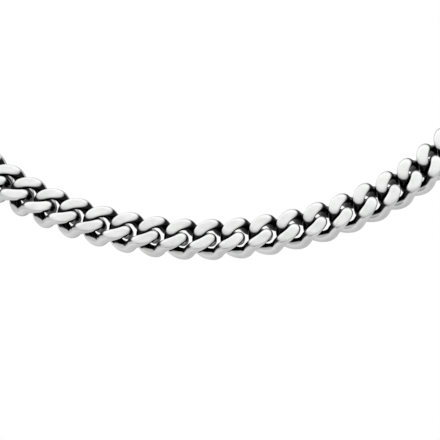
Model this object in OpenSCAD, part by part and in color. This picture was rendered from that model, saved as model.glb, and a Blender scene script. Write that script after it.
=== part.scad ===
// Curb chain necklace: a closed loop of twisted, flat-filed links and one plain clasp.
// Units are millimetres. +Z is up, the front of the necklace faces -Y.
// The origin is the inner edge of the clasp, where the nape of the neck carries the loop.

/* [Links] */
// Distance between the centres of neighbouring links
link_pitch = 4.75; // [4.74:0.01:4.8]
// Half length of a link's wire centre line, along the chain
link_half_length = 3.5; // [3.48:0.01:3.52]
// Half width of a link's wire centre line, across the chain
link_half_width = 2.45; // [2.4:0.01:2.6]
// How far the wire centre line swings to the front and back of the chain
link_twist = 1.45; // [1.3:0.01:1.5]
// Shape of the oval seen from the front: 1 is an ellipse, more is closer to a diamond
link_taper = 1.15; // [1:0.05:1.2]
// Swing to the front and back along the wire: 1 is a plain wave, less keeps the wire there for longer
link_dwell = 0.6; // [0.55:0.05:0.8]
// Radius of the wire
wire_r = 1; // [0.9:0.01:1]
// Extra width that flattening gives the outer side of each long side
rim_spread = 0.1; // [0:0.05:0.15]
// Half thickness of the finished chain, where its faces are filed flat
half_thickness = 1.6; // [1.5:0.05:1.7]

/* [Loop] */
// Number of links on each side of the clasp
links_per_side = 52; // [40:1:60]
// Radius of the front bend; the nape bend comes out a little tighter
bend_r = 54; // [50:1:60]
// Angle that the front bend, and the nape bend, turns through on each side of the middle
bend_turn = 72; // [60:1:80]
// Slope of the loop's plane from level, front low
loop_tilt = 52; // [40:1:80]

/* [Clasp] */
// Straight length that the clasp has and a link has not
clasp_straight = 9; // [8:0.5:12]
// Thickness of the clasp's flat body
clasp_body_t = 2.4; // [2:0.1:2.8]
// Corner radius of the clasp's flat body
clasp_corner_r = 1.2; // [0.8:0.1:1.6]

/* [Detail] */
// Number of sides round a link
link_sides = 12; // [12:4:16]
// Number of sides round the wire
wire_sides = 6; // [5:1:6]

/* [Hidden] */
silver = [0.78, 0.78, 0.8];
radian = 180 / PI;
clasp_body_gap = 0.1;
tangent_step = 3.4;

// Length of one half of the loop, from the middle of the front to the clasp's straight stretch.
half_loop = (links_per_side + 0.5) * link_pitch;

// Each half is three arcs: the front bend, a long flat side bend and the nape bend.
nape_r = bend_r - clasp_straight / 2 / sin(bend_turn);
front_length = bend_r * bend_turn / radian;
nape_length = nape_r * bend_turn / radian;
side_turn = 180 - 2 * bend_turn;
side_r = (half_loop - front_length - nape_length) * radian / side_turn;

// The loop in its own plane: x to the right, y up from the middle of the front.
function arc_step(radius, from, to) = radius * [sin(to) - sin(from), cos(from) - cos(to)];
front_end = arc_step(bend_r, 0, bend_turn);
side_end = front_end + arc_step(side_r, bend_turn, bend_turn + side_turn);
nape_y = (side_end + arc_step(nape_r, bend_turn + side_turn, 180)).y;

// Direction and place of the chain at a distance s from the middle of the front, on the right half.
function turn_at(s) =
    s <= front_length ? s / bend_r * radian
    : s <= half_loop - nape_length ? bend_turn + (s - front_length) / side_r * radian
    : 180 - (half_loop - s) / nape_r * radian;
function place_at(s) =
    s <= front_length ? arc_step(bend_r, 0, turn_at(s))
    : s <= half_loop - nape_length ? front_end + arc_step(side_r, bend_turn, turn_at(s))
    : side_end + arc_step(nape_r, bend_turn + side_turn, turn_at(s));

// A link's wire: a twisted oval. Upper left and lower right swing to the front.
// stretch moves the two ends apart, which makes the clasp's long link.
function power(v, e) = sign(v) * pow(abs(v), e);
function oval(t, stretch) = [
    link_half_length * power(cos(t), link_taper) + stretch,
    link_half_width * power(sin(t), link_taper),
    -link_twist * power(sin(2 * t), link_dwell)
];
function unit(v) = v / norm(v);
function along(t) = unit(oval(t + tangent_step, 0) - oval(t - tangent_step, 0));
function flat(v) = [v.x, v.y, 0];
function outward(t) = unit(flat(oval(t, 0)) - (flat(oval(t, 0)) * along(t)) * along(t));
function filed(p) = [p.x, p.y, max(-half_thickness, min(half_thickness, p.z))];
function out_r(t, a) = cos(a) > 0 ? wire_r + rim_spread * pow(sin(t), 2) : wire_r;
function wire_point(t, a, stretch) = filed(
    oval(t, stretch)
    + out_r(t, a) * cos(a) * outward(t)
    + wire_r * sin(a) * cross(along(t), outward(t))
);

// One closed wire through sections at [angle, stretch] stations.
module wire(stations) {
    rings = len(stations);
    points = [
        for (station = stations)
            for (j = [0 : wire_sides - 1])
                wire_point(station[0], (j + 0.5) * 360 / wire_sides, station[1])
    ];
    function corner(i, j) = (i % rings) * wire_sides + j % wire_sides;
    faces = [
        for (i = [0 : rings - 1])
            for (j = [0 : wire_sides - 1])
                for (half = [0, 1])
                    half == 0
                    ? [corner(i, j), corner(i + 1, j + 1), corner(i, j + 1)]
                    : [corner(i, j), corner(i + 1, j), corner(i + 1, j + 1)]
    ];
    polyhedron(points = points, faces = faces, convexity = 6);
}

module link() {
    wire([for (i = [0 : link_sides - 1]) [i * 360 / link_sides, 0]]);
}

// Turns the loop's own plane into its hanging position, with the clasp's inner edge at the origin.
module hang() {
    rotate([loop_tilt, 0, 0])
        translate([0, link_half_width + wire_r + rim_spread - nape_y, 0])
            children();
}

// Links on one side of the middle: side is 1 for the right half, -1 for the left half.
module half_chain(side) {
    color(silver)
        hang()
            for (k = [1 : links_per_side]) {
                s = (k - 0.5) * link_pitch;
                translate([side * place_at(s).x, place_at(s).y, 0])
                    rotate([0, 0, side * turn_at(s)])
                        link();
            }
}

module chain_right() {
    half_chain(1);
}

module chain_left() {
    half_chain(-1);
}

// A long link of the same wire, closed in the middle by a flat plain body.
module clasp() {
    step = 360 / link_sides;
    quarter = link_sides / 4;
    reach = clasp_straight / 2 - clasp_body_gap - clasp_corner_r;
    side = link_half_width + wire_r + rim_spread - clasp_corner_r;
    color(silver)
        hang()
            translate([0, nape_y, 0])
                rotate([0, 0, 180]) {
                    wire(concat(
                        [for (i = [-quarter : quarter]) [i * step, clasp_straight / 2]],
                        [for (i = [quarter : 3 * quarter]) [i * step, -clasp_straight / 2]]
                    ));
                    hull()
                        for (x = [-reach, reach], y = [-side, side])
                            translate([x, y, 0])
                                cylinder(r = clasp_corner_r, h = clasp_body_t, center = true, $fn = 32);
                }
}

chain_right();
chain_left();
clasp();
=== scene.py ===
"""Looks of a curb chain necklace: smooth links and clasp, polished silver, studio and camera."""

import math

import bmesh
import bpy
import numpy as np
from mathutils import Matrix, Vector


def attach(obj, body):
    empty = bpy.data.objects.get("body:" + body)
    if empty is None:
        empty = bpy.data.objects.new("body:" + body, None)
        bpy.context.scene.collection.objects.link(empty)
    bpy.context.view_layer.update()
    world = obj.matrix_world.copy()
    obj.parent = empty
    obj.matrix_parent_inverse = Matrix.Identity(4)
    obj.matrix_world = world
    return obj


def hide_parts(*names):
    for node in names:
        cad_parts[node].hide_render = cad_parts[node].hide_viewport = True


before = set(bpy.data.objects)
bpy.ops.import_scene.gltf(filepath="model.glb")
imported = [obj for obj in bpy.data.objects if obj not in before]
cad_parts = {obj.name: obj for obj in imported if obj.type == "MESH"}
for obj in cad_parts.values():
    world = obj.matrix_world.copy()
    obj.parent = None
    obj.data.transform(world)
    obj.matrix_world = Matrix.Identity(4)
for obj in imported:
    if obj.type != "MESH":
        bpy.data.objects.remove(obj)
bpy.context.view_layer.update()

# Driving dimensions, the same as in part.scad: lengths in millimetres, angles given in degrees
LINK_PITCH = 4.75
# Half length and half width of the oval that the middle of a link's wire follows
LINK_HALF_LENGTH = 3.5
LINK_HALF_WIDTH = 2.45
# How far the wire swings to the front and the back of the chain
LINK_TWIST = 1.45
# Shape of the oval seen from the front: 1 is an ellipse, more is closer to a diamond
LINK_TAPER = 1.15
# Swing along the wire: 1 is a plain wave, less keeps the wire at the front and the back for longer
LINK_DWELL = 0.6
WIRE_R = 1.0
# Extra width that flattening gives the outer side of each long side
RIM_SPREAD = 0.1
# Half thickness of the finished chain, where its faces are filed flat
HALF_THICKNESS = 1.6
LINKS_PER_SIDE = 52
BEND_R = 54.0
# Angle that the front bend, and the nape bend, turns through on each side of the middle
BEND_TURN = math.radians(72)
# Slope of the loop's plane from level, front low
LOOP_TILT = math.radians(52)
# Straight length that the clasp has and a link has not
CLASP_STRAIGHT = 9.0
CLASP_BODY_T = 2.4
# What the clasp's flat body leaves free at each end of that straight length
CLASP_BODY_GAP = 0.1
CLASP_CORNER_R = 1.2

# How finely the smooth links are drawn. The middle line of the wire is smoothed at fine steps, and
# the stations of the mesh are then spread evenly along it
FINE_STEPS = 800
CURVE_SMOOTHING = 300
LINK_STATIONS = 80
WIRE_SIDES = 44
# How sharply a filed face meets the round of the wire; more is sharper
FILING_SHARPNESS = 12

# How finely the clasp's flat body is drawn, with the width in millimetres that softens its rims
CLASP_CORNER_STEPS = 10
CLASP_BEVEL = 0.35
CLASP_BEVEL_STEPS = 5

# The inner walls of the links are painted near black, as painted shade for the dark reflections in
# the links' recesses. It starts at this cosine of the angle round the wire, where 1 is the outer
# side, and is full a little further in. Towards the links' tips, which lie inside their neighbours,
# its start moves outwards by TIP_REACH, until it goes all round. The tips start and are full at
# these cosines of the angle round the oval
RECESS = "recess"
RECESS_START = 0.45
RECESS_EDGE = 0.2
TIP_REACH = 0.75
TIP_START = 0.8
TIP_FULL = 0.98

# The filed faces have a duller polish than the rest of the wire, and no painted shade. They start
# and are full where the wire reached these shares of the half thickness before filing
RISE = "rise"
FILED_START = 0.93
FILED_FULL = 1.1

METRES_PER_MM = 0.001


# The loop, as in part.scad

HALF_LOOP = (LINKS_PER_SIDE + 0.5) * LINK_PITCH
NAPE_R = BEND_R - CLASP_STRAIGHT / 2 / math.sin(BEND_TURN)
FRONT_LENGTH = BEND_R * BEND_TURN
NAPE_LENGTH = NAPE_R * BEND_TURN
SIDE_TURN = math.pi - 2 * BEND_TURN
SIDE_R = (HALF_LOOP - FRONT_LENGTH - NAPE_LENGTH) / SIDE_TURN


def arc_step(radius, start, end):
    """The way along an arc in the loop's plane, from one direction to another."""
    return radius * np.array([math.sin(end) - math.sin(start), math.cos(start) - math.cos(end)])


FRONT_END = arc_step(BEND_R, 0, BEND_TURN)
SIDE_END = FRONT_END + arc_step(SIDE_R, BEND_TURN, BEND_TURN + SIDE_TURN)
NAPE_Y = (SIDE_END + arc_step(NAPE_R, BEND_TURN + SIDE_TURN, math.pi))[1]


def loop_at(s):
    """Place and direction of the chain at a distance s from the middle of the front, right half."""
    if s <= FRONT_LENGTH:
        turn = s / BEND_R
        return arc_step(BEND_R, 0, turn), turn
    if s <= HALF_LOOP - NAPE_LENGTH:
        turn = BEND_TURN + (s - FRONT_LENGTH) / SIDE_R
        return FRONT_END + arc_step(SIDE_R, BEND_TURN, turn), turn
    turn = math.pi - (HALF_LOOP - s) / NAPE_R
    return SIDE_END + arc_step(NAPE_R, BEND_TURN + SIDE_TURN, turn), turn


# From the loop's own plane, in millimetres, to its hanging position, in metres
HANG = (
    Matrix.Scale(METRES_PER_MM, 4)
    @ Matrix.Rotation(LOOP_TILT, 4, "X")
    @ Matrix.Translation((0, LINK_HALF_WIDTH + WIRE_R + RIM_SPREAD - NAPE_Y, 0))
)


def link_matrix(side, number):
    """Where a link hangs. side is 1 for the right half and -1 for the left, number starts at 1."""
    place, turn = loop_at((number - 0.5) * LINK_PITCH)
    moved = Matrix.Translation((side * place[0], place[1], 0))
    return HANG @ moved @ Matrix.Rotation(side * turn, 4, "Z")


CLASP_MATRIX = HANG @ Matrix.Translation((0, NAPE_Y, 0)) @ Matrix.Rotation(math.pi, 4, "Z")


# Shapes


def even_angles(count):
    """Angles at even steps round a full turn."""
    return np.arange(count) * 2 * math.pi / count


def power(values, exponent):
    """A power that keeps the sign of its values."""
    return np.sign(values) * np.abs(values) ** exponent


def unit_rows(rows):
    """Rows scaled to a length of 1."""
    return rows / np.linalg.norm(rows, axis=1)[:, None]


def wire_line():
    """Angles and points of the wire's middle line, at even steps along the wire, in millimetres."""
    t = even_angles(FINE_STEPS)
    line = np.stack(
        [
            LINK_HALF_LENGTH * power(np.cos(t), LINK_TAPER),
            LINK_HALF_WIDTH * power(np.sin(t), LINK_TAPER),
            -LINK_TWIST * power(np.sin(2 * t), LINK_DWELL),
        ],
        axis=1,
    )
    for _ in range(CURVE_SMOOTHING):
        line = (np.roll(line, 1, 0) + 2 * line + np.roll(line, -1, 0)) / 4
    t = np.append(t, 2 * math.pi)
    line = np.vstack([line, line[:1]])
    travelled = np.append(0, np.cumsum(np.linalg.norm(np.diff(line, axis=0), axis=1)))
    even = np.arange(LINK_STATIONS) * travelled[-1] / LINK_STATIONS
    points = np.stack([np.interp(even, travelled, axis) for axis in line.T], axis=1)
    return np.interp(even, travelled, t), points


def wire_rings(t, line):
    """A ring of points round the wire for each station, in millimetres, before filing."""
    along = unit_rows(np.roll(line, -1, 0) - np.roll(line, 1, 0))
    flat = line * (1, 1, 0)
    outward = unit_rows(flat - (flat * along).sum(1)[:, None] * along)
    across = np.cross(along, outward)
    a = even_angles(WIRE_SIDES)
    outer_r = (WIRE_R + RIM_SPREAD * np.sin(t) ** 2)[:, None]
    reach = np.where(np.cos(a) > 0, outer_r, WIRE_R) * np.cos(a)
    return (
        line[:, None, :]
        + reach[:, :, None] * outward[:, None, :]
        + (WIRE_R * np.sin(a))[None, :, None] * across[:, None, :]
    )


def recess_depths(t):
    """How far the wire's sides lie past the start of the painted shade, as a cosine; below 0 in the
    open.
    """
    outwardness = np.cos(even_angles(WIRE_SIDES))
    tip = np.clip((np.abs(np.cos(t)) - TIP_START) / (TIP_FULL - TIP_START), 0, 1)
    return RECESS_START + TIP_REACH * tip[:, None] - outwardness[None, :]


def filed_flat(z):
    """Heights after the front and the back are filed flat at the chain's thickness."""
    over = np.abs(z) / HALF_THICKNESS
    return z / (1 + over**FILING_SHARPNESS) ** (1 / FILING_SHARPNESS)


def finished_mesh(bm, name):
    """A mesh from a bmesh, which is freed."""
    mesh = bpy.data.meshes.new(name)
    bm.to_mesh(mesh)
    bm.free()
    return mesh


def tube_mesh(name, rings, marks):
    """A closed tube through rings of points. marks holds values for each point, by name."""
    bm = bmesh.new()
    for mark in marks:
        bm.verts.layers.float.new(mark)
    grid = [[bm.verts.new(point) for point in ring] for ring in rings]
    for mark, values in marks.items():
        layer = bm.verts.layers.float[mark]
        for ring, ring_values in zip(grid, values):
            for vert, value in zip(ring, ring_values):
                vert[layer] = value
    for i, ring in enumerate(grid):
        following = grid[(i + 1) % len(grid)]
        for j in range(len(ring)):
            k = (j + 1) % len(ring)
            bm.faces.new((ring[j], following[j], following[k], ring[k])).smooth = True
    bmesh.ops.recalc_face_normals(bm, faces=bm.faces)
    return finished_mesh(bm, name)


def wire_mesh(stretch):
    """A filed link's wire in millimetres. stretch moves its two ends apart."""
    t, line = wire_line()
    rings = wire_rings(t, line)
    # The recess mark says where the inner walls get their painted shade
    marks = {RECESS: recess_depths(t), RISE: np.abs(rings[:, :, 2]) / HALF_THICKNESS}
    rings[:, :, 2] = filed_flat(rings[:, :, 2])
    # Station 0 is the right tip, so the right half is a quarter of the stations to each side of it
    quarter = LINK_STATIONS // 4
    right = (np.arange(LINK_STATIONS) + quarter) % LINK_STATIONS <= 2 * quarter
    rings = rings + np.where(right, stretch, -stretch)[:, None, None] * np.array([1, 0, 0])
    return tube_mesh("wire", rings, marks)


def clasp_outline():
    """Points round the clasp's flat body with its rounded corners, in millimetres."""
    reach = CLASP_STRAIGHT / 2 - CLASP_BODY_GAP - CLASP_CORNER_R
    side = LINK_HALF_WIDTH + WIRE_R + RIM_SPREAD - CLASP_CORNER_R
    for quarter, (sx, sy) in enumerate(((1, 1), (-1, 1), (-1, -1), (1, -1))):
        for step in range(CLASP_CORNER_STEPS + 1):
            a = (quarter + step / CLASP_CORNER_STEPS) * math.pi / 2
            x = sx * reach + CLASP_CORNER_R * math.cos(a)
            y = sy * side + CLASP_CORNER_R * math.sin(a)
            yield x, y


def clasp_body_mesh():
    """The clasp's flat body with softened rims, in millimetres."""
    bm = bmesh.new()
    bottom = bm.faces.new([bm.verts.new((x, y, -CLASP_BODY_T / 2)) for x, y in clasp_outline()])
    raised = bmesh.ops.extrude_face_region(bm, geom=[bottom], use_keep_orig=True)["geom"]
    top = [item for item in raised if isinstance(item, bmesh.types.BMVert)]
    bmesh.ops.translate(bm, verts=top, vec=(0, 0, CLASP_BODY_T))
    bmesh.ops.recalc_face_normals(bm, faces=bm.faces)
    level = CLASP_BODY_T / 2
    rims = [e for e in bm.edges if abs(e.verts[0].co.z - e.verts[1].co.z) < level]
    bmesh.ops.bevel(
        bm,
        geom=rims,
        offset=CLASP_BEVEL,
        segments=CLASP_BEVEL_STEPS,
        profile=0.5,
        affect="EDGES",
    )
    for face in bm.faces:
        face.smooth = True
    return finished_mesh(bm, "clasp_body")


# Nodes of a material or a world


def new_node(tree, kind, **inputs):
    """A node with constants on its inputs, whose names have _ for a space."""
    node = tree.nodes.new(kind)
    for name, value in inputs.items():
        node.inputs[name.replace("_", " ")].default_value = value
    return node


def attribute(tree, name):
    """The values of a mesh's mark."""
    node = tree.nodes.new("ShaderNodeAttribute")
    node.attribute_name = name
    return node.outputs["Fac"]


def noise(tree, coordinates, scale, detail, stretch=(1, 1, 1)):
    """Noise over the object, scale in features per metre, finer along axes with a high stretch."""
    mapping = new_node(tree, "ShaderNodeMapping", Scale=stretch)
    tree.links.new(coordinates, mapping.inputs["Vector"])
    texture = new_node(tree, "ShaderNodeTexNoise", Scale=scale, Detail=detail)
    tree.links.new(mapping.outputs["Vector"], texture.inputs["Vector"])
    return texture.outputs["Fac"]


def mapped(tree, value, low, high, to_low, to_high):
    """A value moved from one range to another, and kept within it."""
    node = new_node(
        tree, "ShaderNodeMapRange", From_Min=low, From_Max=high, To_Min=to_low, To_Max=to_high
    )
    tree.links.new(value, node.inputs["Value"])
    return node.outputs["Result"]


def ramp(tree, value, stops):
    """Colours by value, from (position, colour) stops."""
    node = tree.nodes.new("ShaderNodeValToRGB")
    elements = node.color_ramp.elements
    while len(elements) < len(stops):
        elements.new(0.5)
    for element, (position, colour) in zip(elements, stops):
        element.position, element.color = position, colour
    tree.links.new(value, node.inputs["Fac"])
    return node.outputs["Color"]


def worked_out(tree, operation, first, second):
    """Two values added, multiplied or the like."""
    node = tree.nodes.new("ShaderNodeMath")
    node.operation = operation
    tree.links.new(first, node.inputs[0])
    tree.links.new(second, node.inputs[1])
    return node.outputs["Value"]


def multiplied(tree, first, second):
    """Two colours multiplied."""
    node = new_node(tree, "ShaderNodeMixRGB", Fac=1.0)
    node.blend_type = "MULTIPLY"
    tree.links.new(first, node.inputs["Color1"])
    tree.links.new(second, node.inputs["Color2"])
    return node.outputs["Color"]


# Silver

# Noise patterns, in features per metre, and how many times each is refined. The scratches are
# long along X and narrow across it
CLOUD_SCALE, CLOUD_DETAIL = 420, 4
GRAIN_SCALE, GRAIN_DETAIL = 5200, 3
SCRATCH_SCALE, SCRATCH_DETAIL = 2600, 4
SCRATCH_STRETCH = (0.16, 1.6, 1.6)
# Depths in metres, and the share of the bump that shows
SCRATCH_DEPTH = 0.0000035
DENT_DEPTH = 6 * SCRATCH_DEPTH
BUMP_STRENGTH = 0.5
# Colour by the cloud pattern, and the near-black painted shade of the recesses over it
TINT = ((0.3, (0.80, 0.81, 0.80, 1)), (0.62, (0.93, 0.94, 0.93, 1)))
RECESS_PAINTED_SHADE = (0.02, 0.02, 0.021, 1)
# Roughness from the cloud and the grain, as pattern from and to and roughness from and to, and what
# the filed faces add
CLOUD_ROUGHNESS = (0.35, 0.65, 0.05, 0.1)
GRAIN_ROUGHNESS = (0.55, 0.75, 0, 0.05)
FILED_ROUGHNESS = 0.1


def silver_colour(tree, cloud):
    """A clouded tint, with near-black painted shade in the recesses that filing hasn't reached."""
    inner = mapped(tree, attribute(tree, RECESS), 0, RECESS_EDGE, 0, 1)
    unfiled = mapped(tree, attribute(tree, RISE), FILED_START, FILED_FULL, 1, 0)
    # Painted shade: the recesses are mixed towards near black
    colour = new_node(tree, "ShaderNodeMixRGB", Color2=RECESS_PAINTED_SHADE)
    tree.links.new(worked_out(tree, "MULTIPLY", inner, unfiled), colour.inputs["Fac"])
    tree.links.new(ramp(tree, cloud, TINT), colour.inputs["Color1"])
    return colour.outputs["Color"]


def silver_roughness(tree, cloud, grain):
    """A cloudy polish with a fine grain, duller on the filed faces."""
    polish = mapped(tree, cloud, *CLOUD_ROUGHNESS)
    speckle = mapped(tree, grain, *GRAIN_ROUGHNESS)
    dulling = mapped(tree, attribute(tree, RISE), FILED_START, FILED_FULL, 0, FILED_ROUGHNESS)
    return worked_out(tree, "ADD", worked_out(tree, "ADD", polish, speckle), dulling)


def silver_relief(tree, cloud, scratches):
    """Fine scratches over small, soft dents."""
    fine = new_node(tree, "ShaderNodeBump", Strength=BUMP_STRENGTH, Distance=SCRATCH_DEPTH)
    tree.links.new(scratches, fine.inputs["Height"])
    soft = new_node(tree, "ShaderNodeBump", Strength=BUMP_STRENGTH, Distance=DENT_DEPTH)
    tree.links.new(cloud, soft.inputs["Height"])
    tree.links.new(fine.outputs["Normal"], soft.inputs["Normal"])
    return soft.outputs["Normal"]


def silver():
    """Polished silver metal."""
    material = bpy.data.materials.new("silver")
    material.use_nodes = True
    tree = material.node_tree
    shader = tree.nodes["Principled BSDF"]
    shader.inputs["Metallic"].default_value = 1.0
    coordinates = tree.nodes.new("ShaderNodeTexCoord").outputs["Object"]
    cloud = noise(tree, coordinates, CLOUD_SCALE, CLOUD_DETAIL)
    grain = noise(tree, coordinates, GRAIN_SCALE, GRAIN_DETAIL)
    scratches = noise(tree, coordinates, SCRATCH_SCALE, SCRATCH_DETAIL, SCRATCH_STRETCH)
    tree.links.new(silver_colour(tree, cloud), shader.inputs["Base Color"])
    tree.links.new(silver_roughness(tree, cloud, grain), shader.inputs["Roughness"])
    tree.links.new(silver_relief(tree, cloud, scratches), shader.inputs["Normal"])
    return material


SILVER = silver()


# Pieces


def joined(name, parts):
    """One silver object from (mesh, matrix) pairs."""
    bm = bmesh.new()
    for mesh, matrix in parts:
        start = len(bm.verts)
        bm.from_mesh(mesh)
        bm.verts.ensure_lookup_table()
        bmesh.ops.transform(bm, matrix=matrix, verts=bm.verts[start:])
    piece = bpy.data.objects.new(name, finished_mesh(bm, name))
    bpy.context.scene.collection.objects.link(piece)
    piece.data.materials.append(SILVER)
    return piece


def dress(piece, node):
    """Lets a piece stand for a node of the frame."""
    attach(piece, "root")
    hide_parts(node)


# Each side of the chain is a front piece and a back piece of links, numbered from the front
link = wire_mesh(0)
front_links = LINKS_PER_SIDE // 2
numbers_by_part = {
    "front": range(1, front_links + 1),
    "back": range(front_links + 1, LINKS_PER_SIDE + 1),
}
for side, node in ((1, "chain_right"), (-1, "chain_left")):
    for part, numbers in numbers_by_part.items():
        links = [(link, link_matrix(side, number)) for number in numbers]
        dress(joined(f"{node}_{part}", links), node)

clasp_parts = [(wire_mesh(CLASP_STRAIGHT / 2), CLASP_MATRIX), (clasp_body_mesh(), CLASP_MATRIX)]
dress(joined("clasp_smooth", clasp_parts), "clasp")


# Stage, in metres

# The middle of the chain's low front
STAGE_CENTRE = HANG @ Vector((0, 0, 0))

# The floor glows a little, so that it meets the white surround softly
FLOOR_DROP = 0.65
FLOOR_HALF_SIZE = 2.0
FLOOR_CORNERS = ((-1, -1), (1, -1), (1, 1), (-1, 1))
FLOOR_COLOUR = (0.95, 0.95, 0.94, 1)
FLOOR_ROUGHNESS = 0.9
FLOOR_GLOW_COLOUR = (1, 1, 0.99, 1)
FLOOR_GLOW = 0.26

# The metal reflects a pale light tent. Its levels of grey go by height, from straight down (0) to
# straight up (1), by the angle from the camera's side in degrees, where a grey opening lies, and by
# side, from the left (0) to the right (1). They are multiplied
TENT_BY_HEIGHT = (
    (0, 0.6),
    (0.3, 0.75),
    (0.5, 0.58),
    (0.75, 0.62),
    (0.93, 0.72),
    (0.98, 0.86),
    (1, 0.95),
)
TENT_BY_ANGLE = ((6, 0.55), (28, 1), (130, 1), (175, 0.45))
TENT_BY_SIDE = ((0.25, 1), (0.75, 0.9))
WHITE = (1, 1, 1, 1)


def direction(azimuth, elevation):
    """Unit vector to where a thing stands. Azimuth 0 is in front, 90 to the necklace's right."""
    a, e = math.radians(azimuth), math.radians(elevation)
    return Vector((math.sin(a) * math.cos(e), -math.cos(a) * math.cos(e), math.sin(e)))


def softbox(name, azimuth, elevation, distance, width, height, radiance):
    """A rectangle of even light that faces the chain's low front. A radiance of 1 is white."""
    light = bpy.data.lights.new(name, "AREA")
    light.shape = "RECTANGLE"
    light.size, light.size_y = width, height
    light.energy = radiance * math.pi * width * height
    lamp = bpy.data.objects.new(name, light)
    bpy.context.scene.collection.objects.link(lamp)
    towards = direction(azimuth, elevation)
    lamp.location = STAGE_CENTRE + towards * distance
    lamp.rotation_euler = towards.to_track_quat("Z", "Y").to_euler()
    lamp.visible_camera = False


def floor_material():
    """A matt, pale floor that glows a little."""
    material = bpy.data.materials.new("pale_floor")
    material.use_nodes = True
    shader = material.node_tree.nodes["Principled BSDF"]
    shader.inputs["Base Color"].default_value = FLOOR_COLOUR
    shader.inputs["Roughness"].default_value = FLOOR_ROUGHNESS
    shader.inputs["Emission Color"].default_value = FLOOR_GLOW_COLOUR
    shader.inputs["Emission Strength"].default_value = FLOOR_GLOW
    return material


def floor_object():
    """A square floor below the necklace, which the metal doesn't reflect."""
    mesh = bpy.data.meshes.new("floor")
    corners = [(x * FLOOR_HALF_SIZE, y * FLOOR_HALF_SIZE, 0) for x, y in FLOOR_CORNERS]
    mesh.from_pydata(corners, [], [(0, 1, 2, 3)])
    mesh.materials.append(floor_material())
    plane = bpy.data.objects.new("floor", mesh)
    plane.location = (0, 0, STAGE_CENTRE.z - FLOOR_DROP)
    plane.visible_glossy = False
    bpy.context.scene.collection.objects.link(plane)
    return plane


def grey_ramp(tree, component, stops):
    """Levels of grey over a component of the direction, from -1 at place 0 to 1 at place 1."""
    place = mapped(tree, component, -1, 1, 0, 1)
    return ramp(tree, place, [(position, (level, level, level, 1)) for position, level in stops])


def tent_colour(tree):
    """The light tent's grey, by the direction in which it is seen."""
    looking = tree.nodes.new("ShaderNodeSeparateXYZ")
    generated = tree.nodes.new("ShaderNodeTexCoord").outputs["Generated"]
    tree.links.new(generated, looking.inputs["Vector"])
    depths = [((1 - math.cos(math.radians(angle))) / 2, level) for angle, level in TENT_BY_ANGLE]
    by_height = grey_ramp(tree, looking.outputs["Z"], TENT_BY_HEIGHT)
    by_depth = grey_ramp(tree, looking.outputs["Y"], depths)
    by_side = grey_ramp(tree, looking.outputs["X"], TENT_BY_SIDE)
    return multiplied(tree, multiplied(tree, by_height, by_depth), by_side)


def studio_world():
    """A surround that the camera sees as plain white and everything else as the light tent."""
    world = bpy.data.worlds.new("studio")
    world.use_nodes = True
    tree = world.node_tree
    tree.nodes.clear()
    tent = new_node(tree, "ShaderNodeBackground", Strength=1.0)
    tree.links.new(tent_colour(tree), tent.inputs["Color"])
    white = new_node(tree, "ShaderNodeBackground", Color=WHITE, Strength=1.0)
    choice = tree.nodes.new("ShaderNodeMixShader")
    camera_ray = tree.nodes.new("ShaderNodeLightPath").outputs["Is Camera Ray"]
    tree.links.new(camera_ray, choice.inputs["Fac"])
    tree.links.new(tent.outputs["Background"], choice.inputs[1])
    tree.links.new(white.outputs["Background"], choice.inputs[2])
    output = tree.nodes.new("ShaderNodeOutputWorld")
    tree.links.new(choice.outputs["Shader"], output.inputs["Surface"])
    return world


softbox(
    "softbox_top", azimuth=0, elevation=85, distance=0.6, width=0.7, height=0.16, radiance=0.3
)
floor = floor_object()
bpy.context.scene.world = studio_world()
bpy.context.scene.view_settings.view_transform = "Standard"


# Camera

# The photo shows a width of 74.2 mm at the front of the chain, seen level, with the lowest link a
# little left of and below the middle of the picture. All in metres but the sensor's millimetres
VIEW_WIDTH = 0.0742
CAMERA_DISTANCE = 0.6
AIM_OFFSET = Vector((0.0026, 0, 0.0033))
CLIP_START, CLIP_END = 0.01, 20
SENSOR = 36.0

camera = bpy.data.objects.new("camera", bpy.data.cameras.new("camera"))
bpy.context.scene.collection.objects.link(camera)
camera.data.sensor_width = SENSOR
camera.data.lens = SENSOR * CAMERA_DISTANCE / VIEW_WIDTH
camera.data.clip_start, camera.data.clip_end = CLIP_START, CLIP_END
camera.location = STAGE_CENTRE + AIM_OFFSET + direction(0, 0) * CAMERA_DISTANCE
camera.rotation_euler = (math.pi / 2, 0, 0)
bpy.context.scene.camera = camera
